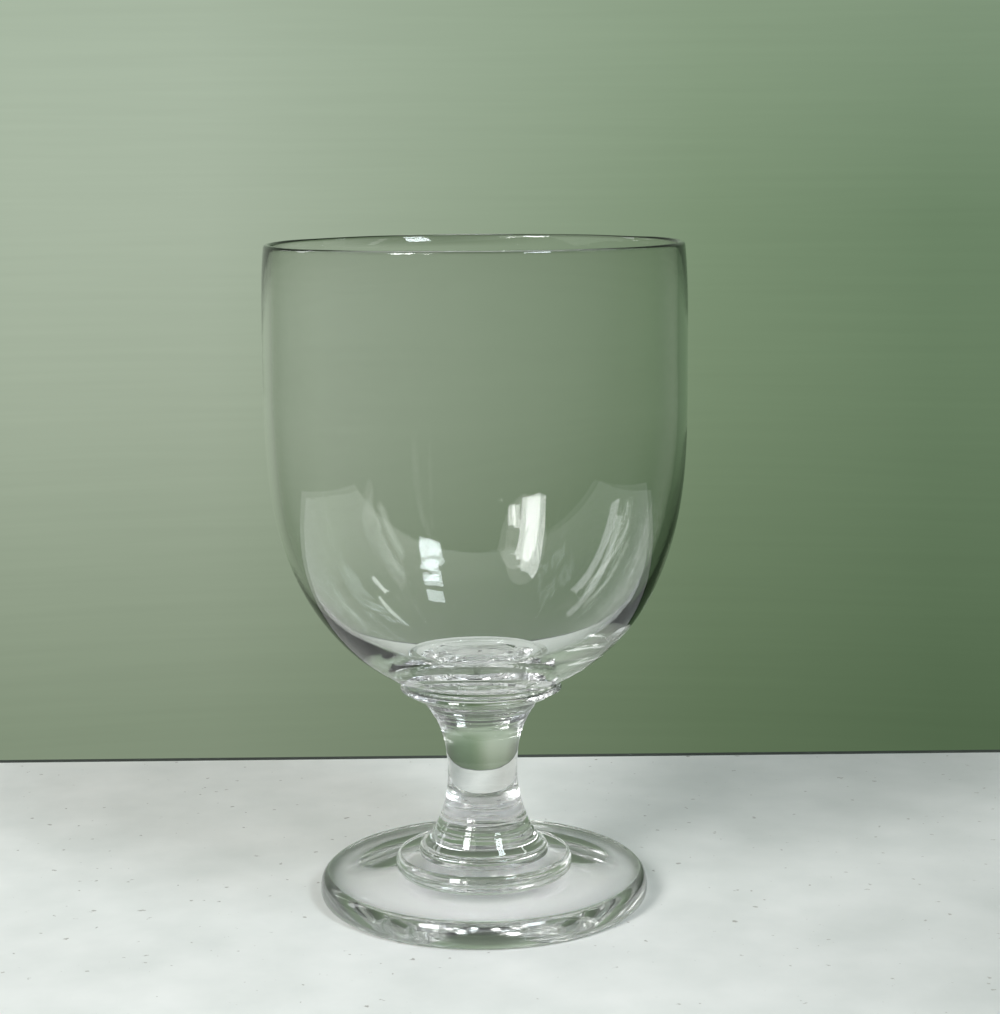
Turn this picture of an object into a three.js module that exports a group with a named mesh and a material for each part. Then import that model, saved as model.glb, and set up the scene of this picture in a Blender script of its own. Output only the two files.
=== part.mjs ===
// A hand-made rummer: a bucket bowl on a short waisted stem, with a collar under
// the bowl, a stepped disc over the foot and a heavy round foot.
// Each gather of glass is its own solid, turned about +Z. The origin is the
// centre of the face that the foot stands on. Sizes are in millimetres.

import * as THREE from 'three';

// Foot
const footRadius = 40.3;
const footThickness = 6.5;
const footEdgeWidestHeight = 2.3; // height of the widest ring of the edge
const footEdgeUnderWidth = 1.3; // how far the edge draws in to the rest ring
const footShoulderWidth = 2.7; // how far the edge draws in to the top face
const restRingWidth = 3;
const hollowDepth = 2.8; // the underside is hollowed inside the rest ring
const hollowPadRadius = 8.5; // flat middle of the hollow

// Pontil scar, the stub left under the foot
const scarRadius = 6.2;
const scarThickness = 1.1;
const scarFaceRadius = 4.4;

// Foot collar, the stepped disc on the foot
const footCollarRadius = 21.6;
const footCollarThickness = 4.3;
const footCollarUnderWidth = 0.7;
const footCollarUnderHeight = 1.4;
const footCollarShoulderWidth = 1.3;
const footCollarShoulderHeight = 2.2;

// Stem
const stemHeight = 39.4;
const stemNeckRadius = 8.55;
const stemBaseRadius = 15.8;
const stemBaseBandHeight = 0.8; // upright band at the very bottom
const stemBaseRoundWidth = 0.9;
const stemBaseRoundHeight = 1.5;
const stemTopRadius = 14.9;
const stemNeckHeight = 20; // height of the waist above the foot collar

// Bowl collar, the disc under the bowl
const bowlCollarRadius = 19.6;
const bowlCollarThickness = 3.2;
const bowlCollarUnderHeight = 2.2; // height of the sloping underside
const bowlCollarUnderFullness = 0.35; // how far the underside bulges past a cone
const bowlCollarShoulderWidth = 0.7;

// Bowl
const bowlHeight = 106.6; // from its seat on the collar to the rim
const bellyRadius = 50.4;
const bellyHeight = 71.2; // height of the widest ring above the seat
const bowlPoleDepth = 2.8; // the round bottom, cut flat at the seat, would end this far below it
const bellyWallThickness = 2.2;
const thinWallThickness = 1.65; // the wall is thinnest low down, where the bowl was blown out most
const thinWallHeight = 24; // height of the thinnest wall above the seat
const thickeningHeight = 11; // below this height above the seat the wall thickens to the floor
const thickeningTurn = 10; // the larger, the more gently the thickening sets in
const bowlFloorThickness = 5; // the level floor of the bowl above the seat
const squareStep = 0.01; // the step along the outside that gives the direction square to it
const lipThickness = 2;
const mouthInset = 1; // how far the wall draws in at the mouth

// Exponents of the rounded outlines, which have no size
const bowlOutsideHeightPower = 2.66;
const bowlRadiusPower = 2.1;
const mouthPower = 7;
const edgePower = 2.3;
const hollowPower = 1.6;

// How much thicker the wall gets per height below the thickening height
const thickeningShare = 0.25;

// Shares that place the handles of the stem's two flares
const neckHandleUpShare = 0.46;
const topHandleInShare = 0.27;
const topHandleUpShare = 0.7;
const neckHandleDownShare = 0.34;
const baseHandleInShare = 0.37;
const baseHandleDownShare = 0.8;

// Steps round the axis and along the curves
const roundSteps = 48;
const scarRoundSteps = 24;
const cornerSteps = 4;
const edgeSteps = 6;
const flareSteps = 8;
const bowlSteps = 15;
const insideSteps = 20;
const mouthSteps = 4;
const lipSteps = 6;
const hollowSteps = 6;

// Heights of the faces where one gather of glass is welded to the next
const footTop = footThickness;
const footCollarTop = footTop + footCollarThickness;
const stemTop = footCollarTop + stemHeight;
const bowlSeat = stemTop + bowlCollarThickness;
const rimTop = bowlSeat + bowlHeight;

const point = (radius, height) => new THREE.Vector2(radius, height);

// A rounded corner from an upright side of outerRadius, at sideHeight, in by
// width to a level face that lies rise above it, or below it for a negative rise.
function roundedCorner(outerRadius, sideHeight, width, rise, power, steps) {
  const innerRadius = outerRadius - width;
  const points = [];
  for (let step = 0; step <= steps; step++) {
    const angle = (step / steps) * (Math.PI / 2);
    const radius = innerRadius + width * Math.cos(angle) ** (2 / power);
    const height = sideHeight + rise * Math.sin(angle) ** (2 / power);
    points.push(point(radius, height));
  }
  return points;
}

// A flare between two rings of the stem, as a cubic curve with four corners.
function flare(start, startHandle, endHandle, end) {
  return new THREE.CubicBezierCurve(start, startHandle, endHandle, end).getPoints(flareSteps);
}

// A solid turned about +Z from an outline that starts and ends on the axis and
// runs up its outside.
function turned(name, outline, steps, material) {
  const clean = outline.filter((place, index) => index === 0 || !place.equals(outline[index - 1]));
  const geometry = new THREE.LatheGeometry(clean, steps);
  geometry.rotateX(Math.PI / 2);
  const mesh = new THREE.Mesh(geometry, material);
  mesh.name = name;
  return mesh;
}

function glass(colour, roughness) {
  return new THREE.MeshStandardMaterial({
    color: colour,
    roughness,
    metalness: 0,
    transparent: true,
    opacity: 0.35,
  });
}

// The foot stands on a flat ring. Its edge swells to the widest ring and then
// rounds over to the level top.
function footOutline() {
  const restRingOuterRadius = footRadius - footEdgeUnderWidth;
  const restRingInnerRadius = restRingOuterRadius - restRingWidth;
  const hollowWidth = restRingInnerRadius - hollowPadRadius;
  const hollow = [];
  for (let step = 0; step <= hollowSteps; step++) {
    const share = step / hollowSteps;
    const height = hollowDepth * (1 - share * share) ** hollowPower;
    hollow.push(point(hollowPadRadius + hollowWidth * share, height));
  }
  const under = roundedCorner(
    footRadius, footEdgeWidestHeight, footEdgeUnderWidth, -footEdgeWidestHeight, 2, cornerSteps,
  ).reverse();
  const shoulder = roundedCorner(
    footRadius, footEdgeWidestHeight, footShoulderWidth,
    footThickness - footEdgeWidestHeight, edgePower, edgeSteps,
  );
  return [point(0, hollowDepth), ...hollow, ...under, ...shoulder, point(0, footTop)];
}

// The scar hangs in the hollow, clear of the table.
function scarOutline() {
  const scarBottom = hollowDepth - scarThickness;
  const edge = roundedCorner(
    scarRadius, hollowDepth, scarRadius - scarFaceRadius, -scarThickness, 2, cornerSteps,
  ).reverse();
  return [point(0, scarBottom), ...edge, point(0, hollowDepth)];
}

function footCollarOutline() {
  const under = roundedCorner(
    footCollarRadius, footTop + footCollarUnderHeight, footCollarUnderWidth,
    -footCollarUnderHeight, 2, cornerSteps,
  ).reverse();
  const shoulder = roundedCorner(
    footCollarRadius, footCollarTop - footCollarShoulderHeight, footCollarShoulderWidth,
    footCollarShoulderHeight, 2, cornerSteps,
  );
  return [point(0, footTop), ...under, ...shoulder, point(0, footCollarTop)];
}

// The stem rises from an upright band, rounds in to the lower flare, narrows to
// the neck and opens again under the bowl collar.
function stemOutline() {
  const bandTop = footCollarTop + stemBaseBandHeight;
  const flareBase = bandTop + stemBaseRoundHeight;
  const flareBaseRadius = stemBaseRadius - stemBaseRoundWidth;
  const neck = footCollarTop + stemNeckHeight;
  const lowerRise = neck - flareBase;
  const lowerSpread = flareBaseRadius - stemNeckRadius;
  const upperRise = stemTop - neck;
  const upperSpread = stemTopRadius - stemNeckRadius;
  const base = roundedCorner(
    stemBaseRadius, bandTop, stemBaseRoundWidth, stemBaseRoundHeight, 2, cornerSteps,
  );
  const lowerFlare = flare(
    point(flareBaseRadius, flareBase),
    point(stemNeckRadius + lowerSpread * baseHandleInShare, neck - lowerRise * baseHandleDownShare),
    point(stemNeckRadius, neck - lowerRise * neckHandleDownShare),
    point(stemNeckRadius, neck),
  );
  const upperFlare = flare(
    point(stemNeckRadius, neck),
    point(stemNeckRadius, neck + upperRise * neckHandleUpShare),
    point(stemNeckRadius + upperSpread * topHandleInShare, neck + upperRise * topHandleUpShare),
    point(stemTopRadius, stemTop),
  );
  return [
    point(0, footCollarTop),
    point(stemBaseRadius, footCollarTop),
    ...base,
    ...lowerFlare,
    ...upperFlare,
    point(0, stemTop),
  ];
}

// The collar's underside slopes up from the stem to a thin rounded edge.
function bowlCollarOutline() {
  const edgeHeight = stemTop + bowlCollarUnderHeight;
  const spread = bowlCollarRadius - stemTopRadius;
  const under = [];
  for (let step = 0; step <= cornerSteps; step++) {
    const share = step / cornerSteps;
    const bulge = bowlCollarUnderFullness * Math.sin(share * Math.PI);
    under.push(point(stemTopRadius + spread * share, stemTop + bowlCollarUnderHeight * share - bulge));
  }
  const shoulder = roundedCorner(
    bowlCollarRadius, edgeHeight, bowlCollarShoulderWidth, bowlSeat - edgeHeight, 2, cornerSteps,
  );
  return [point(0, stemTop), ...under, ...shoulder, point(0, bowlSeat)];
}

// Radius of the round-bottomed outside of the bowl at a height up to its belly.
function outsideRadius(height) {
  const belly = bowlSeat + bellyHeight;
  const pole = bowlSeat - bowlPoleDepth;
  const below = Math.min(1, Math.max(0, (belly - height) / (belly - pole)));
  return bellyRadius * (1 - below ** bowlOutsideHeightPower) ** (1 / bowlRadiusPower);
}

// The wall's thickness under a place on the outside of the bowl. It is even at
// first, thins a little downwards, and thickens softly towards the floor.
function wallThickness(height) {
  const aboveThin = (height - bowlSeat - thinWallHeight) / (bellyHeight - thinWallHeight);
  const upper = Math.min(1, Math.max(0, aboveThin));
  const below = bowlSeat + thickeningHeight - height;
  const lower = (below + Math.hypot(below, thickeningTurn)) / 2;
  return thinWallThickness + (bellyWallThickness - thinWallThickness) * upper + thickeningShare * lower;
}

// The inside of the bowl, from the middle of its level floor up to its belly. It
// lies square to the outside, as deep as the wall is thick.
function bowlInside() {
  const floor = bowlSeat + bowlFloorThickness;
  const pole = bowlSeat - bowlPoleDepth;
  const wall = heightsFrom(pole + squareStep, bowlSeat + bellyHeight, insideSteps).map((height) => {
    const spread = outsideRadius(height + squareStep) - outsideRadius(height - squareStep);
    const square = point(squareStep + squareStep, -spread).normalize();
    return point(outsideRadius(height), height).addScaledVector(square, -wallThickness(height));
  });
  const first = wall.findIndex((place) => place.y > floor);
  const under = wall[first - 1];
  const corner = under.clone().lerp(wall[first], (floor - under.y) / (wall[first].y - under.y));
  return [point(0, floor), corner, ...wall.slice(first)];
}

// Heights from one end to the other, closer together at the start, where the
// bottom of the bowl curves most.
function heightsFrom(start, end, steps) {
  const heights = [];
  for (let step = 0; step <= steps; step++) {
    heights.push(start + (end - start) * (1 - Math.cos((step / steps) * (Math.PI / 2))));
  }
  return heights;
}

function bowlOutline() {
  const belly = bowlSeat + bellyHeight;
  const insideRadius = bellyRadius - wallThickness(belly);
  const lipRadius = lipThickness / 2;
  const lipHeight = rimTop - lipRadius;
  const outsideMouth = bellyRadius - mouthInset;
  const insideMouth = outsideMouth - lipThickness;

  const outside = heightsFrom(bowlSeat, belly, bowlSteps).map((height) =>
    point(outsideRadius(height), height));

  const outsideNeck = [];
  const insideNeck = [];
  for (let step = 1; step <= mouthSteps; step++) {
    const share = Math.sqrt(step / mouthSteps);
    const height = belly + (lipHeight - belly) * share;
    const drawn = share ** mouthPower;
    outsideNeck.push(point(bellyRadius + (outsideMouth - bellyRadius) * drawn, height));
    insideNeck.push(point(insideRadius + (insideMouth - insideRadius) * drawn, height));
  }

  const lip = [];
  for (let step = 1; step < lipSteps; step++) {
    const angle = (step / lipSteps) * Math.PI;
    lip.push(point(outsideMouth - lipRadius + lipRadius * Math.cos(angle),
      lipHeight + lipRadius * Math.sin(angle)));
  }

  return [
    point(0, bowlSeat),
    ...outside,
    ...outsideNeck,
    ...lip,
    ...insideNeck.reverse(),
    ...bowlInside().reverse(),
  ];
}

const thinGlass = glass(0xdfe6df, 0.04);
const thickGlass = glass(0xc9d3ca, 0.05);
const brokenGlass = glass(0xc4cfc6, 0.35);

const rummer = new THREE.Group();
rummer.add(
  turned('foot', footOutline(), roundSteps, thickGlass),
  turned('pontil_scar', scarOutline(), scarRoundSteps, brokenGlass),
  turned('foot_collar', footCollarOutline(), roundSteps, thickGlass),
  turned('stem', stemOutline(), roundSteps, thickGlass),
  turned('bowl_collar', bowlCollarOutline(), roundSteps, thickGlass),
  turned('bowl', bowlOutline(), roundSteps, thinGlass),
);

export default rummer;
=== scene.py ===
import math

import bpy
from mathutils import Matrix, Vector, noise


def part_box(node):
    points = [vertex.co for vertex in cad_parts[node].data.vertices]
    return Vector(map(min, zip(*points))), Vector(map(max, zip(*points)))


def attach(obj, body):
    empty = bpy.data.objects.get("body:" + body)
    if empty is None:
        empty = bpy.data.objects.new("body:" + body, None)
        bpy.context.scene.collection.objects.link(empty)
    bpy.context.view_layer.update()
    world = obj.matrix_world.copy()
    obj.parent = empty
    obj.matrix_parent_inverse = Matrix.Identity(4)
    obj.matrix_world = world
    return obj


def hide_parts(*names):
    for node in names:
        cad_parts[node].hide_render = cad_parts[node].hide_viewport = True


# A hand-made rummer of clear glass that stands on a pale table. Metres, +Z up.
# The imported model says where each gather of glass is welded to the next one, and
# every gather is made here again with the marks that tools and heat leave on it.
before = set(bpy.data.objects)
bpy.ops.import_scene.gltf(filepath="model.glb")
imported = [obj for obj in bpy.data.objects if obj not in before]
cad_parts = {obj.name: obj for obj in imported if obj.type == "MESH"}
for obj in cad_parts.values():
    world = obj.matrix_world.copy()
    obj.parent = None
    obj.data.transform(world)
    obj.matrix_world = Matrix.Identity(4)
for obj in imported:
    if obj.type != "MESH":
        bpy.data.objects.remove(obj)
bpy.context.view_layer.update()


# The bowl: one gather blown to a deep bucket with a thick bottom, cracked off at
# the mouth and warmed again, so that its rim melts to a round lip. Its wall is
# never quite even, and the hollow lies a little off the middle of the gather.
MM = 0.001
FULL_TURN = 2 * math.pi
round_steps = 216

bowl_low, bowl_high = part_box("bowl")
seat = bowl_low.z
rim = bowl_high.z
belly_radius = bowl_high.x
belly = seat + 71.2 * MM
outside_pole = seat - 2.8 * MM
outside_fullness = 2.66
outside_roundness = 2.1

belly_wall = 2.2 * MM
thin_wall = 1.65 * MM
thin_height = seat + 24 * MM
thickening = 0.25
thickening_height = seat + 11 * MM
thickening_turn = 10 * MM
floor_height = seat + 5 * MM
pit_radius = 11 * MM
pit_depth = 0.5 * MM
pit_turn = 0.5 * MM

lip_thickness = 1.5 * MM
mouth_inset = 0.8 * MM
mouth_turn = 5


def spaced(start, end, steps):
    """Heights from start to end, closest at the start, where the glass curves most."""
    return [start + (end - start) * (1 - math.cos(math.pi / 2 * i / steps)) for i in range(steps + 1)]


def held(value):
    """The value, held between zero and one."""
    return min(1, max(0, value))


def smooth(share):
    """Goes from zero to one as the share does, with a soft start and a soft end."""
    return share * share * (3 - 2 * share)


def soft_ramp(value, turn_size):
    """Zero below zero and the value itself above it, with a rounded corner between them."""
    return (value + math.hypot(value, turn_size)) / 2


def outside_radius(height):
    below = max(0, (belly - height) / (belly - outside_pole))
    return belly_radius * max(0, 1 - below ** outside_fullness) ** (1 / outside_roundness)


def wall_at(height):
    upper = held((height - thin_height) / (belly - thin_height))
    lower = soft_ramp(thickening_height - height, thickening_turn)
    return thin_wall + (belly_wall - thin_wall) * upper + thickening * lower


def bowl_inside():
    """The inner wall lies square to the outer one, as deep as the wall, and ends in a level floor."""
    wall_steps = 120
    floor_steps = 34
    step = 0.01 * MM
    wall = []
    for height in spaced(outside_pole + step, belly, wall_steps):
        fall = outside_radius(height - step) - outside_radius(height + step)
        out = Vector((2 * step, fall)).normalized()
        place = (outside_radius(height) - wall_at(height) * out.x, height - wall_at(height) * out.y)
        if place[1] > floor_height:
            wall.append(place)
    floor = []
    for i in range(floor_steps):
        radius = wall[0][0] * i / floor_steps
        sunk = smooth(held((pit_radius + pit_turn - radius) / pit_turn))
        floor.append((radius, floor_height - pit_depth * sunk))
    return floor + wall


def bowl_outline():
    outside_steps = 90
    neck_steps = 60
    lip_steps = 16
    lip = lip_thickness / 2
    outside_mouth = belly_radius - mouth_inset
    inside_belly = belly_radius - wall_at(belly)
    inside_mouth = outside_mouth - lip_thickness
    outline = [(0, seat)]
    outline += [(outside_radius(height), height) for height in spaced(seat, belly, outside_steps)]
    for i in range(1, neck_steps + 1):
        share = i / neck_steps
        height = belly + (rim - lip - belly) * share
        outline.append((belly_radius + (outside_mouth - belly_radius) * share ** mouth_turn, height))
    for i in range(1, lip_steps):
        angle = math.pi * i / lip_steps
        outline.append((outside_mouth - lip + lip * math.cos(angle), rim - lip + lip * math.sin(angle)))
    for i in range(neck_steps, 0, -1):
        share = i / neck_steps
        height = belly + (rim - lip - belly) * share
        outline.append((inside_belly + (inside_mouth - inside_belly) * share ** mouth_turn, height))
    outline += reversed(bowl_inside())
    return outline


def turn(name, outline):
    """A closed solid: the outline is drawn by extruding one point and spun about the axis."""
    merge_distance = 0.002 * MM
    bpy.ops.object.select_all(action="DESELECT")
    bpy.ops.mesh.primitive_plane_add(size=MM, location=(0, 0, 0))
    piece = bpy.context.active_object
    piece.name = name
    piece.data.name = name
    bpy.ops.object.mode_set(mode="EDIT")
    bpy.ops.mesh.select_all(action="SELECT")
    bpy.ops.mesh.merge(type="CENTER")
    here = Vector((outline[0][0], 0, outline[0][1]))
    bpy.ops.transform.translate(value=here)
    for radius, height in outline[1:]:
        there = Vector((radius, 0, height))
        bpy.ops.mesh.extrude_region_move(TRANSFORM_OT_translate={"value": there - here})
        here = there
    bpy.ops.mesh.select_all(action="SELECT")
    bpy.ops.mesh.spin(steps=round_steps, angle=FULL_TURN, center=(0, 0, 0), axis=(0, 0, 1))
    bpy.ops.mesh.select_all(action="SELECT")
    bpy.ops.mesh.remove_doubles(threshold=merge_distance)
    bpy.ops.mesh.normals_make_consistent(inside=False)
    bpy.ops.object.mode_set(mode="OBJECT")
    bpy.ops.object.shade_smooth()
    return piece


def weld_material():
    """Where two gathers have run together there is no surface, so light goes straight on."""
    material = bpy.data.materials.get("weld_run_together")
    if material is None:
        material = bpy.data.materials.new("weld_run_together")
        material.use_nodes = True
        tree = material.node_tree
        tree.nodes.clear()
        clear = tree.nodes.new("ShaderNodeBsdfTransparent")
        output = tree.nodes.new("ShaderNodeOutputMaterial")
        tree.links.new(clear.outputs["BSDF"], output.inputs["Surface"])
    return material


def weld(piece, height, radius):
    """Gives the level disc at this height the weld's material and keeps its edge crisp."""
    tolerance = 0.01 * MM
    mesh = piece.data
    if len(mesh.materials) < 2:
        mesh.materials.append(weld_material())
    for face in mesh.polygons:
        corners = [mesh.vertices[index].co for index in face.vertices]
        level = all(abs(corner.z - height) < tolerance for corner in corners)
        if level and all(corner.xy.length < radius + tolerance for corner in corners):
            face.material_index = 1
    bpy.ops.object.select_all(action="DESELECT")
    piece.select_set(True)
    bpy.context.view_layer.objects.active = piece
    piece.active_material_index = 1
    bpy.ops.object.mode_set(mode="EDIT")
    bpy.ops.mesh.select_mode(type="FACE")
    bpy.ops.mesh.select_all(action="DESELECT")
    bpy.ops.object.material_slot_select()
    bpy.ops.mesh.region_to_loop()
    bpy.ops.mesh.mark_sharp()
    bpy.ops.mesh.select_mode(type="VERT")
    bpy.ops.object.mode_set(mode="OBJECT")


def tool_rings(piece, low, high, depth, spacing):
    """Fine ridges where a tool rode on the turning glass, deeper on one side than on the other."""
    side_change = 1.3
    height_change = 300
    wander = 0.4
    for vertex in piece.data.vertices:
        height = vertex.co.z
        radius = vertex.co.xy.length
        if low < height < high and radius > MM:
            share = (height - low) / (high - low)
            side = Vector((vertex.co.x, vertex.co.y, 0)) / radius
            pressure = noise.noise(side * side_change + Vector((0, 0, height * height_change)))
            ridge = noise.noise(Vector((0, 0, height / spacing)) + side * wander)
            offset = depth * math.sin(math.pi * share) * (0.65 + 0.7 * pressure) * ridge
            vertex.co.x += offset * side.x
            vertex.co.y += offset * side.y


def bend_by_hand(piece):
    """Handwork is never quite round: the glass waves, and leans over as it rises.

    Every piece is bent alike, so the welds still meet.
    """
    wave = 0.1 * MM
    wave_size = 24 * MM
    lean = -0.95 * MM
    lean_top = 115 * MM
    for vertex in piece.data.vertices:
        vertex.co += wave * noise.noise_vector(vertex.co / wave_size)
        vertex.co.x += lean * smooth(min(1, vertex.co.z / lean_top))


def add_mapping(tree, place, stretch, turned=(0, 0, 0), moved=(0, 0, 0)):
    """The same place, stretched, then turned, then moved."""
    mapping = tree.nodes.new("ShaderNodeMapping")
    mapping.inputs["Scale"].default_value = stretch
    mapping.inputs["Rotation"].default_value = turned
    mapping.inputs["Location"].default_value = moved
    tree.links.new(place, mapping.inputs["Vector"])
    return mapping.outputs["Vector"]


def add_noise(tree, place, scale, detail):
    """Clouds between zero and one. The larger the scale, the smaller they are."""
    cloud = tree.nodes.new("ShaderNodeTexNoise")
    cloud.inputs["Scale"].default_value = scale
    cloud.inputs["Detail"].default_value = detail
    tree.links.new(place, cloud.inputs["Vector"])
    return cloud.outputs["Fac"]


def add_range(tree, value, start, end, result_start=0, result_end=1):
    """Brings start to end onto the result's own start to end, and holds it beyond them."""
    span = tree.nodes.new("ShaderNodeMapRange")
    span.inputs["From Min"].default_value = start
    span.inputs["From Max"].default_value = end
    span.inputs["To Min"].default_value = result_start
    span.inputs["To Max"].default_value = result_end
    tree.links.new(value, span.inputs["Value"])
    return span.outputs["Result"]


def add_ramp(tree, share, stops):
    """Colours laid out from zero to one, as stops of a place and a colour, two at least."""
    ramp = tree.nodes.new("ShaderNodeValToRGB")
    elements = ramp.color_ramp.elements
    for element, (place, colour) in ((elements[0], stops[0]), (elements[1], stops[-1])):
        element.position = place
        element.color = (*colour, 1)
    for place, colour in stops[1:-1]:
        elements.new(place).color = (*colour, 1)
    tree.links.new(share, ramp.inputs["Fac"])
    return ramp.outputs["Color"]


def add_mix(tree, factor, under, over, mode="MIX"):
    """Lays one colour over another. Each is a colour or the socket that gives one."""
    mix = tree.nodes.new("ShaderNodeMix")
    mix.data_type = "RGBA"
    mix.blend_type = mode
    for socket, value in (("Factor", factor), ("A", under), ("B", over)):
        if isinstance(value, bpy.types.NodeSocket):
            tree.links.new(value, mix.inputs[socket])
        else:
            mix.inputs[socket].default_value = value
    return mix.outputs["Result"]


def add_math(tree, operation, first, second):
    """Works on two values. The second is a number or the socket that gives one."""
    worked_out = tree.nodes.new("ShaderNodeMath")
    worked_out.operation = operation
    tree.links.new(first, worked_out.inputs[0])
    if isinstance(second, bpy.types.NodeSocket):
        tree.links.new(second, worked_out.inputs[1])
    else:
        worked_out.inputs[1].default_value = second
    return worked_out.outputs["Value"]


def add_bump(tree, height, depth, below=None):
    """Raises the surface by a pattern of heights, on top of the bumps that are already below it."""
    bump = tree.nodes.new("ShaderNodeBump")
    bump.inputs["Strength"].default_value = 1
    bump.inputs["Distance"].default_value = depth
    tree.links.new(height, bump.inputs["Height"])
    if below is not None:
        tree.links.new(below, bump.inputs["Normal"])
    return bump.outputs["Normal"]


def object_place(tree):
    return tree.nodes.new("ShaderNodeTexCoord").outputs["Object"]


def split_axes(tree, place):
    axes = tree.nodes.new("ShaderNodeSeparateXYZ")
    tree.links.new(place, axes.inputs[0])
    return axes.outputs


def glass_material(name, tint, streak_tint, polish, wear, streak_size, ripple_height, scratch_height):
    """Clear glass: faint cords of another tint, a slightly uneven skin, and dull patches of wear.

    Spoons and cloths have left fine scratches, most of them where the bowl rounds in.
    """
    refraction = 1.51
    drawn_out = (1, 1, 2)
    wear_scale = 180
    wear_start = 0.52
    wear_end = 0.75
    scratch_scale = 450
    scratch_slant = (0.5, 0.3, 0)
    scratch_stretch = (1, 1, 2.5)
    scratch_top = 140 * MM
    scratch_bands = [
        (0.52, (0, 0, 0)),
        (0.58, (1, 1, 1)),
        (0.68, (1, 1, 1)),
        (0.78, (0.05, 0.05, 0.05)),
    ]
    material = bpy.data.materials.new(name)
    material.use_nodes = True
    tree = material.node_tree
    shader = tree.nodes["Principled BSDF"]
    shader.inputs["IOR"].default_value = refraction
    shader.inputs["Transmission Weight"].default_value = 1
    place = object_place(tree)

    drawn_place = add_mapping(tree, place, drawn_out)
    cords = add_noise(tree, drawn_place, scale=1 / streak_size, detail=3)
    colour = add_mix(tree, cords, (*tint, 1), (*streak_tint, 1))
    tree.links.new(colour, shader.inputs["Base Color"])

    rubbed = add_noise(tree, place, wear_scale, detail=4)
    dullness = add_range(tree, rubbed, wear_start, wear_end, polish, wear)
    tree.links.new(dullness, shader.inputs["Roughness"])

    ripple = add_noise(tree, drawn_place, scale=2 / streak_size, detail=2)
    rippled_skin = add_bump(tree, ripple, ripple_height)
    slanted_place = add_mapping(tree, place, scratch_stretch, turned=scratch_slant)
    scratches = add_noise(tree, slanted_place, scratch_scale, detail=1)
    raised = add_range(tree, split_axes(tree, place)["Z"], 0, scratch_top)
    handled = add_ramp(tree, raised, scratch_bands)
    scratch_depth = add_math(tree, "MULTIPLY", scratches, handled)
    skin = add_bump(tree, scratch_depth, scratch_height, below=rippled_skin)
    tree.links.new(skin, shader.inputs["Normal"])
    return material


bowl = turn("blown_bowl", bowl_outline())
bowl.data.materials.append(glass_material(
    "fire_polished_glass",
    tint=(0.988, 0.994, 0.986),
    streak_tint=(0.975, 0.986, 0.972),
    polish=0,
    wear=0.02,
    streak_size=14 * MM,
    ripple_height=0.006 * MM,
    scratch_height=0.004 * MM,
))
seat_radius = outside_radius(seat)
weld(bowl, seat, seat_radius)

# The inside was never touched by a tool, so it waves by itself, and the lip rises and falls.
# The seed makes every wave and bend of the glass come out alike in every run.
noise.seed_set(1)
inner_wave = 0.01 * MM
inner_wave_size = 13 * MM
inner_wave_start = Vector((31, 7, 5))
rim_wave = 0.16 * MM
rim_wave_depth = 6 * MM
rim_wave_size = 18 * MM
for vertex in bowl.data.vertices:
    radius = vertex.co.xy.length
    height = vertex.co.z
    if height > floor_height + MM and radius < outside_radius(height) - thin_wall / 2:
        vertex.co += inner_wave * noise.noise_vector(vertex.co / inner_wave_size + inner_wave_start)
    if height > rim - rim_wave_depth:
        share = (height - rim + rim_wave_depth) / rim_wave_depth
        around = Vector((vertex.co.x, vertex.co.y, 0)) / rim_wave_size
        vertex.co.z += rim_wave * share * noise.noise(around)

# At the back, left of the middle, the lip was pressed thinner from the inside.
press_depth = 0.95 * MM
press_height = 2.8 * MM
press_side = Vector((-0.27, 0.963, 0))
press_narrowness = 8
press_bend = 1.4
for vertex in bowl.data.vertices:
    rise = min(1, (vertex.co.z - rim + press_height) / press_height)
    if rise > 0:
        radius = vertex.co.xy.length
        side = Vector((vertex.co.x, vertex.co.y, 0)) / radius
        inward = held((belly_radius - mouth_inset - radius) / lip_thickness)
        near = max(0, side.dot(press_side)) ** press_narrowness
        vertex.co += side * press_depth * inward * near * rise ** press_bend

# The floor is folded where it was pushed in while the collar was welded on, most at two sides.
fold_height = 0.1 * MM
fold_size = 2.2 * MM
fold_reach = 16 * MM
fold_stretch = 1.8
fold_start = Vector((3, 8, 2))
least_fold = 0.25
for vertex in bowl.data.vertices:
    radius = vertex.co.xy.length
    on_floor = floor_height - MM < vertex.co.z < floor_height + 0.1 * MM
    if on_floor and MM < radius < fold_reach:
        side = abs(vertex.co.x) / radius
        swirl = Vector((vertex.co.x, vertex.co.y * fold_stretch, 0)) / fold_size + fold_start
        share = math.sin(math.pi * radius / fold_reach) ** 2 * (least_fold + (1 - least_fold) * side)
        vertex.co.z += fold_height * share * noise.noise(swirl)

tool_rings(bowl, rim - 12 * MM, rim, depth=0.03 * MM, spacing=1.3 * MM)

# Lower down the hollow lies to the left of the middle, so the wall is thicker on the right.
hollow_shift = -1.5 * MM
for vertex in bowl.data.vertices:
    height = vertex.co.z
    radius = vertex.co.xy.length
    if MM < radius < outside_radius(height) - thin_wall / 2 and height > floor_height - MM:
        share = held((belly - height) / (belly - floor_height))
        right_side = (1 + vertex.co.x / radius) / 2
        vertex.co.x += hollow_shift * smooth(share) * right_side
bend_by_hand(bowl)
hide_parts("bowl")
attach(bowl, "root")


# The bowl collar: a flat button of hot glass pressed between the bowl and the
# stem, squeezed out to a thin dark edge, with a ring left by the pucellas.
collar_low, collar_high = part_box("bowl_collar")
collar_seat = collar_low.z
collar_radius = collar_high.x
stem_top_radius = 14.9 * MM
worked_glass = glass_material(
    "thick_worked_glass",
    tint=(0.994, 0.997, 0.99),
    streak_tint=(0.98, 0.987, 0.975),
    polish=0,
    wear=0.03,
    streak_size=7 * MM,
    ripple_height=0.006 * MM,
    scratch_height=0.001 * MM,
)


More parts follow.
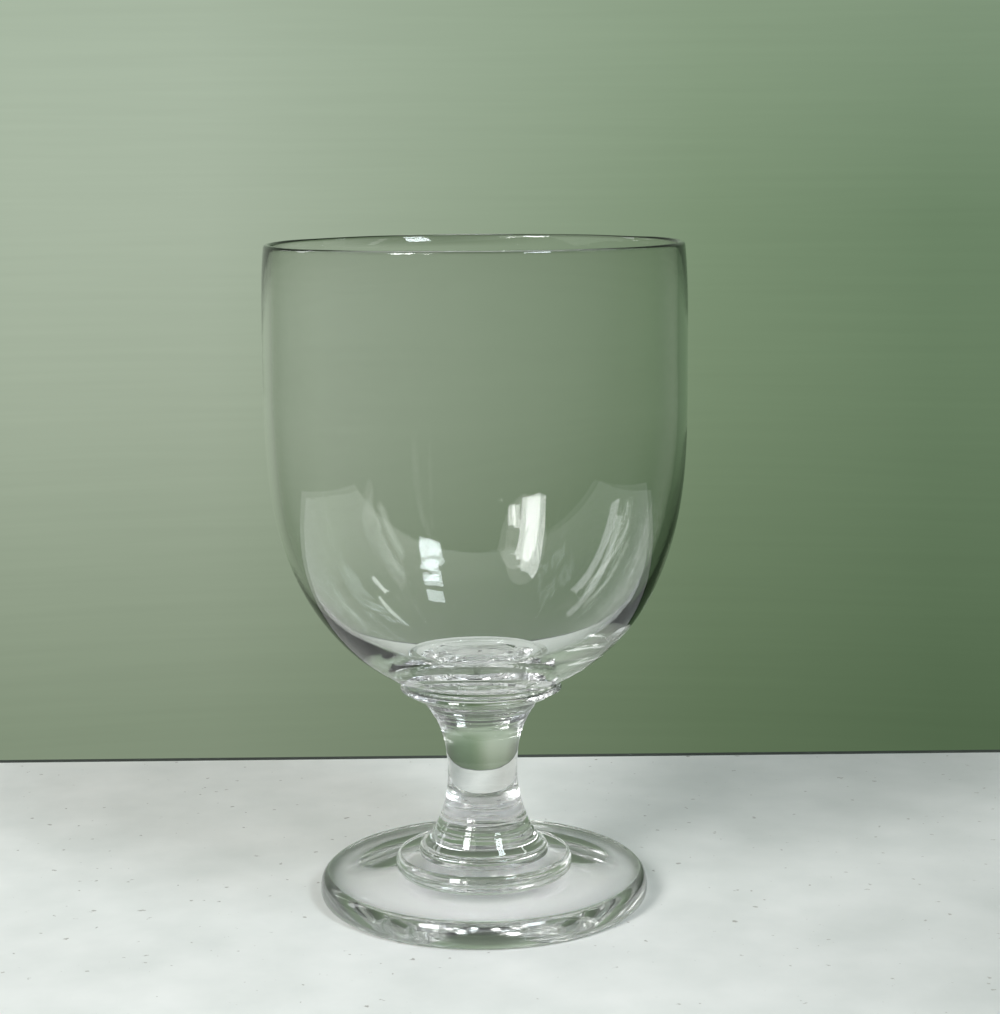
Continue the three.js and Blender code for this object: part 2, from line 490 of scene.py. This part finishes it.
def quarter(centre_radius, centre_height, width, height, steps, power=2):
    """A quarter of a rounded edge, from its outermost point up to its top."""
    points = []
    for i in range(steps + 1):
        angle = math.pi / 2 * i / steps
        across = width * math.cos(angle) ** (2 / power)
        up = height * math.sin(angle) ** (2 / power)
        points.append((centre_radius + across, centre_height + up))
    return points


def bowl_collar_outline():
    under_height = 2.2 * MM
    under_steps = 24
    shoulder = 0.7 * MM
    undercut = 0.35 * MM
    outline = [(0, collar_seat)]
    for i in range(under_steps + 1):
        share = i / under_steps
        radius = stem_top_radius + (collar_radius - stem_top_radius) * share
        outline.append((radius, collar_seat + under_height * share - undercut * math.sin(math.pi * share)))
    edge_base = collar_seat + under_height
    outline += quarter(collar_radius - shoulder, edge_base, shoulder, seat - edge_base, steps=16)[1:]
    outline += [(seat_radius, seat), (0, seat)]
    return outline


bowl_collar = turn("bowl_collar_disc", bowl_collar_outline())
bowl_collar.data.materials.append(worked_glass)
weld(bowl_collar, seat, seat_radius)
weld(bowl_collar, collar_seat, stem_top_radius)
tool_rings(bowl_collar, collar_seat, seat, depth=0.35 * MM, spacing=0.6 * MM)
bend_by_hand(bowl_collar)
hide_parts("bowl_collar")
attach(bowl_collar, "root")


# The stem: a short solid gather necked in with the jaws while it turned. The jaws
# left fine rings below the collar and above the base, where it swells to a bead.
stem_low, stem_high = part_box("stem")
stem_base = stem_low.z
stem_base_radius = stem_high.x
neck_radius = 8.55 * MM


def curve(start, start_handle, end_handle, end, steps):
    """Points on a smooth curve that leaves its ends towards their handles."""
    points = []
    for i in range(steps + 1):
        t = i / steps
        u = 1 - t
        weights = (u ** 3, 3 * u * u * t, 3 * u * t * t, t ** 3)
        ends = (start, start_handle, end_handle, end)
        points.append(tuple(sum(w * p[axis] for w, p in zip(weights, ends)) for axis in (0, 1)))
    return points


def stem_outline():
    band_top = stem_base + 0.8 * MM
    bead_width = 0.9 * MM
    bead_height = 1.5 * MM
    flare_base = band_top + bead_height
    flare_radius = stem_base_radius - bead_width
    flare_handle_in = 0.37
    flare_handle_up = 0.2
    neck = stem_base + 20 * MM
    neck_handle_down = 0.34
    neck_handle_up = 0.46
    top_handle_out = 0.27
    top_handle_up = 0.7
    spread = flare_radius - neck_radius
    rise = neck - flare_base
    top_spread = stem_top_radius - neck_radius
    top_rise = collar_seat - neck
    outline = [(0, stem_base), (stem_base_radius, stem_base)]
    outline += quarter(flare_radius, band_top, bead_width, bead_height, steps=14)
    outline += curve(
        (flare_radius, flare_base),
        (neck_radius + spread * flare_handle_in, flare_base + rise * flare_handle_up),
        (neck_radius, neck - rise * neck_handle_down),
        (neck_radius, neck),
        steps=80,
    )[1:]
    outline += curve(
        (neck_radius, neck),
        (neck_radius, neck + top_rise * neck_handle_up),
        (neck_radius + top_spread * top_handle_out, neck + top_rise * top_handle_up),
        (stem_top_radius, collar_seat),
        steps=80,
    )[1:]
    outline.append((0, collar_seat))
    return outline


stem = turn("waisted_stem", stem_outline())
stem.data.materials.append(worked_glass)
weld(stem, collar_seat, stem_top_radius)
weld(stem, stem_base, stem_base_radius)
tool_rings(stem, collar_seat - 7 * MM, collar_seat, depth=0.32 * MM, spacing=0.7 * MM)
tool_rings(stem, stem_base, stem_base + 13 * MM, depth=0.3 * MM, spacing=0.8 * MM)
bend_by_hand(stem)
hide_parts("stem")
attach(stem, "root")


# The foot collar: a thick disc laid on the foot to carry the stem. Its upper edge
# is pressed round, and its lower one has run into the foot.
foot_collar_low, foot_collar_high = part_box("foot_collar")
foot_top = foot_collar_low.z
foot_collar_radius = foot_collar_high.x
foot_collar_weld = foot_collar_radius - 0.7 * MM


def foot_collar_outline():
    lower_width = foot_collar_radius - foot_collar_weld
    lower_height = 1.4 * MM
    upper_width = 1.3 * MM
    upper_height = 2.2 * MM
    upper_base = stem_base - upper_height
    lower_edge = quarter(foot_collar_weld, foot_top + lower_height, lower_width, -lower_height, steps=16)
    upper_edge = quarter(foot_collar_radius - upper_width, upper_base, upper_width, upper_height, steps=20)
    return [(0, foot_top)] + lower_edge[::-1] + upper_edge + [(stem_base_radius, stem_base), (0, stem_base)]


foot_collar = turn("foot_collar_disc", foot_collar_outline())
foot_collar.data.materials.append(worked_glass)
weld(foot_collar, stem_base, stem_base_radius)
weld(foot_collar, foot_top, foot_collar_weld)
tool_rings(foot_collar, foot_top, stem_base, depth=0.3 * MM, spacing=1.1 * MM)
bend_by_hand(foot_collar)
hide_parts("foot_collar")
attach(foot_collar, "root")


# The foot: a heavy disc spread with a wet board, with a blunt edge. It is hollowed
# below, so that only a narrow ring stands on the table, and its edge is worn.
foot_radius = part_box("foot")[1].x
scar_radius = 6.2 * MM
hollow_depth = 2.8 * MM


def foot_outline():
    widest = 2.3 * MM
    under = 1.3 * MM
    shoulder = 2.7 * MM
    shoulder_power = 2.3
    ring_outer = foot_radius - under
    ring_inner = ring_outer - 3 * MM
    hollow_pad = 8.5 * MM
    hollow_power = 1.6
    hollow_steps = 60
    outline = [(0, hollow_depth), (scar_radius, hollow_depth)]
    for i in range(hollow_steps + 1):
        share = i / hollow_steps
        radius = hollow_pad + (ring_inner - hollow_pad) * share
        outline.append((radius, hollow_depth * (1 - share * share) ** hollow_power))
    outline += quarter(ring_outer, widest, under, -widest, steps=24)[:0:-1]
    outline += quarter(foot_radius - shoulder, widest, shoulder, foot_top - widest, 40, shoulder_power)
    outline += [(foot_collar_weld, foot_top), (0, foot_top)]
    return outline


def rub_and_shade_edge(material, worn_shaded_from, worn_shaded_to):
    """Makes the glass duller, as wear, and greyer, as painted shade, from one distance from the axis to the
    other.
    """
    # Painted shade: this grey darkens the edge in place of the dim light that passes through it.
    painted_shade_grey = (0.66, 0.69, 0.65, 1)
    added_roughness = 0.08
    tree = material.node_tree
    shader = tree.nodes["Principled BSDF"]
    clear_colour = shader.inputs["Base Color"].links[0].from_socket
    clear_polish = shader.inputs["Roughness"].links[0].from_socket
    flat_place = tree.nodes.new("ShaderNodeVectorMath")
    flat_place.operation = "MULTIPLY"
    flat_place.inputs[1].default_value = (1, 1, 0)
    tree.links.new(object_place(tree), flat_place.inputs[0])
    reach = tree.nodes.new("ShaderNodeVectorMath")
    reach.operation = "LENGTH"
    tree.links.new(flat_place.outputs["Vector"], reach.inputs[0])
    edge = add_range(tree, reach.outputs["Value"], worn_shaded_from, worn_shaded_to)
    tree.links.new(add_mix(tree, edge, clear_colour, painted_shade_grey), shader.inputs["Base Color"])
    worn = add_math(tree, "MULTIPLY", edge, added_roughness)
    tree.links.new(add_math(tree, "ADD", worn, clear_polish), shader.inputs["Roughness"])


# Its edge is dull from years of being slid about and knocked. Its grey is painted shade, standing in for the
# dim light that comes out through the edge.
foot_glass = glass_material(
    "rubbed_shaded_foot_glass",
    tint=(1, 1, 1),
    streak_tint=(0.985, 0.99, 0.98),
    polish=0,
    wear=0.03,
    streak_size=7 * MM,
    ripple_height=0.006 * MM,
    scratch_height=0.001 * MM,
)
rub_and_shade_edge(foot_glass, foot_radius - 3.6 * MM, foot_radius - 1.6 * MM)
foot = turn("heavy_foot", foot_outline())
foot.data.materials.append(foot_glass)
weld(foot, foot_top, foot_collar_weld)
weld(foot, hollow_depth, scar_radius)
bend_by_hand(foot)
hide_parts("foot")
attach(foot, "root")


# The pontil scar: the stub left in the hollow where the rod was cracked off, with
# a broken, partly ground face that scatters the light.
def scar_outline():
    thickness = 1.1 * MM
    face = 4.4 * MM
    edge = quarter(face, hollow_depth, scar_radius - face, -thickness, steps=12)
    return [(0, hollow_depth - thickness)] + edge[::-1] + [(0, hollow_depth)]


scar = turn("pontil_scar_stub", scar_outline())
scar.data.materials.append(glass_material(
    "broken_ground_glass",
    tint=(0.93, 0.95, 0.93),
    streak_tint=(0.88, 0.91, 0.88),
    polish=0.25,
    wear=0.5,
    streak_size=2 * MM,
    ripple_height=0.3 * MM,
    scratch_height=0.02 * MM,
))
weld(scar, hollow_depth, scar_radius)
bend_by_hand(scar)
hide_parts("pontil_scar")
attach(scar, "root")


# The table top: a pale painted board with a faint mottle, and the shadow line of
# the gap behind its back edge.
table_back = 117 * MM
table_front = -190 * MM
table_half = 420 * MM
table_thickness = 20 * MM
gap_width = 3 * MM
standing_gap = 0.05 * MM


def board(name, front, back, top, bottom):
    """A level board as wide as the table."""
    bpy.ops.object.select_all(action="DESELECT")
    bpy.ops.mesh.primitive_cube_add(size=1, location=(0, 0, 0))
    piece = bpy.context.active_object
    piece.name = name
    for vertex in piece.data.vertices:
        vertex.co.x = math.copysign(table_half, vertex.co.x)
        vertex.co.y = back if vertex.co.y > 0 else front
        vertex.co.z = top if vertex.co.z > 0 else bottom
    return piece


def painted_material(name, light, dark, roughness):
    """Paint that is lighter in some places than in others. Gives its colour's socket too."""
    mottle_scale = 38
    material = bpy.data.materials.new(name)
    material.use_nodes = True
    tree = material.node_tree
    shader = tree.nodes["Principled BSDF"]
    shader.inputs["Roughness"].default_value = roughness
    mottle = add_noise(tree, object_place(tree), mottle_scale, detail=6)
    colour = add_ramp(tree, mottle, [(0.3, dark), (0.7, light)])
    tree.links.new(colour, shader.inputs["Base Color"])
    return material, colour


table = board("table_top", table_front, table_back, -standing_gap, -table_thickness)
paint, paint_colour = painted_material(
    "pale_paint", light=(0.82, 0.83, 0.79), dark=(0.7, 0.72, 0.68), roughness=0.6
)
table.data.materials.append(paint)

# Painted shade: the paint is darkened towards the right, away from the brightest window. It also has small
# dark specks.
darkest = 0.82
speck_scale = 330
speck_colour = (0.4, 0.39, 0.35, 1)
paint_tree = paint.node_tree
table_place = object_place(paint_tree)
left_to_right = split_axes(paint_tree, table_place)["X"]
darkened = add_range(paint_tree, left_to_right, 10 * MM, 130 * MM, 1, darkest)
shaded_paint = paint_tree.nodes.new("ShaderNodeVectorMath")
shaded_paint.operation = "SCALE"
paint_tree.links.new(paint_colour, shaded_paint.inputs[0])
paint_tree.links.new(darkened, shaded_paint.inputs["Scale"])
grit = add_noise(paint_tree, table_place, speck_scale, detail=3)
specks = add_range(paint_tree, grit, 0.69, 0.73)
specked = add_mix(paint_tree, specks, shaded_paint.outputs["Vector"], speck_colour)

# Painted light: below the foot the paint is lighter and glows a little, in place of the daylight that the
# foot's hollow gathers and passes down. Heights are stretched, so only the top face is near enough.
lit_patch_radius = 36 * MM
lit_patch_turn = 2 * MM
painted_light_colour = (0.95, 0.95, 0.94, 1)
painted_light_glow = 0.24
glow_ring = [
    (0.45, (0, 0, 0)),
    (0.58, (1, 1, 1)),
    (0.78, (1, 1, 1)),
    (1, (0, 0, 0)),
]
height_stretch = 100
top_up = (0, 0, standing_gap * height_stretch)
top_place = add_mapping(paint_tree, table_place, (1, 1, height_stretch), moved=top_up)
from_axis = paint_tree.nodes.new("ShaderNodeVectorMath")
from_axis.operation = "LENGTH"
paint_tree.links.new(top_place, from_axis.inputs[0])
distance = from_axis.outputs["Value"]
lit_patch = add_range(paint_tree, distance, lit_patch_radius, lit_patch_radius + lit_patch_turn, 1, 0)
painted = paint_tree.nodes["Principled BSDF"]
paint_tree.links.new(add_mix(paint_tree, lit_patch, specked, painted_light_colour), painted.inputs["Base Color"])
# Painted light: a glowing ring on the top face below the foot.
ring = add_ramp(paint_tree, add_range(paint_tree, distance, 0, lit_patch_radius), glow_ring)
painted.inputs["Emission Color"].default_value = (1, 1, 0.97, 1)
paint_tree.links.new(add_math(paint_tree, "MULTIPLY", ring, painted_light_glow), painted.inputs["Emission Strength"])
gap = board("table_back_gap", table_back, table_back + gap_width, -standing_gap, -table_thickness)
shadow = painted_material("shadow_gap", light=(0.05, 0.06, 0.05), dark=(0.04, 0.05, 0.04), roughness=0.9)[0]
gap.data.materials.append(shadow)


# The light: soft daylight from the windows of a room. Each is a sheet of light between
# two directions seen from the glass, in degrees to the right of the front and upwards.
glass_middle = Vector((0, 0, 90 * MM))
cool_white = (0.86, 0.94, 1)


def direction(turned, raised):
    """The way from the glass that is turned to the right of the front and raised by these degrees."""
    turned, raised = math.radians(turned), math.radians(raised)
    level = math.cos(raised)
    return Vector((math.sin(turned) * level, -math.cos(turned) * level, math.sin(raised)))


def window(name, low_aim, high_aim, width, power, colour, shape="RECTANGLE"):
    """A sheet of light that faces the glass and reaches from the low direction to the high one."""
    distance = 1.6
    low = glass_middle + direction(*low_aim) * distance
    high = glass_middle + direction(*high_aim) * distance
    up = (high - low).normalized()
    middle = (low + high) / 2
    side = up.cross(middle - glass_middle).normalized()
    away = side.cross(up)
    bpy.ops.object.light_add(type="AREA")
    lamp = bpy.context.active_object
    lamp.name = name
    lamp.matrix_world = Matrix.Translation(middle) @ Matrix((side, up, away)).transposed().to_4x4()
    lamp.data.shape = shape
    lamp.data.size = width
    lamp.data.size_y = (high - low).length
    lamp.data.energy = power
    lamp.data.color = colour


window("window_left_sheer", (-32, 17), (-43, 54), 0.72, 3, (1, 0.995, 0.98), "ELLIPSE")
window("window_left_pane", (-38, 17), (-47, 46), 0.34, 19, (0.98, 0.98, 1))
window("window_left_top_pane", (-25, 21), (-27, 29), 0.13, 1.5, (1, 1, 1))
window("window_right_low_pane", (36, 34), (41, 44), 0.36, 6.5, cool_white)
window("window_right_pane", (43, 46), (48, 53), 0.32, 4.4, cool_white)
window("window_right_high_pane", (50, 55), (56, 60), 0.26, 2.4, cool_white)
window("window_left_side", (-104, 9), (-119, 40), 0.19, 2.2, (0.95, 0.94, 1))
window("window_left_behind", (-125, 8), (-121, 31), 0.09, 0.5, (1, 1, 1))
window("window_right_side", (66, 14), (62, 37), 0.12, 0.35, (1, 1, 1))
window("window_right_behind", (103, 36), (108, 46), 0.1, 0.8, (0.95, 0.98, 1))


# The surroundings: a sage-green panel behind the table, lighter on the left, and a
# dim room in front. Both are colours of the world, laid out by looking direction.
world = bpy.data.worlds.new("sage_surroundings")
bpy.context.scene.world = world
world.use_nodes = True
world_tree = world.node_tree
looking = world_tree.nodes.new("ShaderNodeTexCoord").outputs["Generated"]
axes = split_axes(world_tree, looking)


def ramp_along(axis, start, end, stops):
    """Colours laid out along one axis of the looking direction."""
    share = add_range(world_tree, axes[axis], start, end)
    return add_ramp(world_tree, share, [((place - start) / (end - start), colour) for place, colour in stops])


panel = ramp_along("X", -1, 1, [
    (-0.95, (0.15, 0.17, 0.14)),
    (-0.7, (0.22, 0.26, 0.2)),
    (-0.48, (0.33, 0.39, 0.31)),
    (-0.21, (0.361, 0.429, 0.337)),
    (-0.127, (0.352, 0.418, 0.328)),
    (0.108, (0.181, 0.254, 0.159)),
    (0.212, (0.136, 0.205, 0.122)),
    (0.5, (0.12, 0.18, 0.11)),
    (0.8, (0.08, 0.12, 0.07)),
])
panel_height = ramp_along("Z", -0.8, 0.8, [
    (-0.7, (0.3, 0.32, 0.28)),
    (-0.26, (0.53, 0.56, 0.49)),
    (-0.115, (0.83, 0.83, 0.8)),
    (0.044, (1.0, 1.0, 1.0)),
    (0.22, (1.0, 1.0, 1.0)),
    (0.36, (0.62, 0.62, 0.62)),
    (0.6, (0.4, 0.4, 0.4)),
])
higher_up = add_range(world_tree, axes["Z"], -0.03, 0.27)
panel_evened = add_mix(world_tree, higher_up, panel, (0.26, 0.33, 0.24, 1))
panel_shaded = add_mix(world_tree, 1, panel_evened, panel_height, "MULTIPLY")

# The paint of the panel shows faint level strokes of the brush.
brush_stretch = (6, 6, 190)
faintest = 0.982
strongest = 1.018
brush_place = add_mapping(world_tree, looking, brush_stretch)
strokes = add_noise(world_tree, brush_place, scale=1.5, detail=5)
brushed = world_tree.nodes.new("ShaderNodeVectorMath")
brushed.operation = "SCALE"
world_tree.links.new(panel_shaded, brushed.inputs[0])
world_tree.links.new(add_range(world_tree, strokes, 0.3, 0.7, faintest, strongest), brushed.inputs["Scale"])

front_room = (0.08, 0.08, 0.085, 1)
behind = add_range(world_tree, axes["Y"], -0.1, 0.3)
surroundings = add_mix(world_tree, behind, front_room, brushed.outputs["Vector"])
background = world_tree.nodes["Background"]
background.inputs["Strength"].default_value = 1.2
world_tree.links.new(surroundings, background.inputs["Color"])


# The camera: a short telephoto a little above the rim, tipped down at the glass.
# Light may pass through many walls of glass before it comes out.
camera_place = (0, -498.5 * MM, 180 * MM)
turned_right = 0.53
tipped_down = 9.5
rolled = 0.45
camera_data = bpy.data.cameras.new("camera")
camera_data.sensor_width = 36
camera_data.lens = 74.56
camera_data.clip_start = 0.01
camera = bpy.data.objects.new("camera", camera_data)
bpy.context.scene.collection.objects.link(camera)
camera.matrix_world = (
    Matrix.Translation(camera_place)
    @ Matrix.Rotation(math.radians(-turned_right), 4, "Z")
    @ Matrix.Rotation(math.radians(90 - tipped_down), 4, "X")
    @ Matrix.Rotation(math.radians(-rolled), 4, "Z")
)
bpy.context.scene.camera = camera
bpy.context.scene.view_settings.view_transform = "Standard"
bpy.context.scene.cycles.max_bounces = 32
bpy.context.scene.cycles.transmission_bounces = 32
bpy.context.scene.cycles.glossy_bounces = 16
bpy.context.scene.cycles.transparent_max_bounces = 32
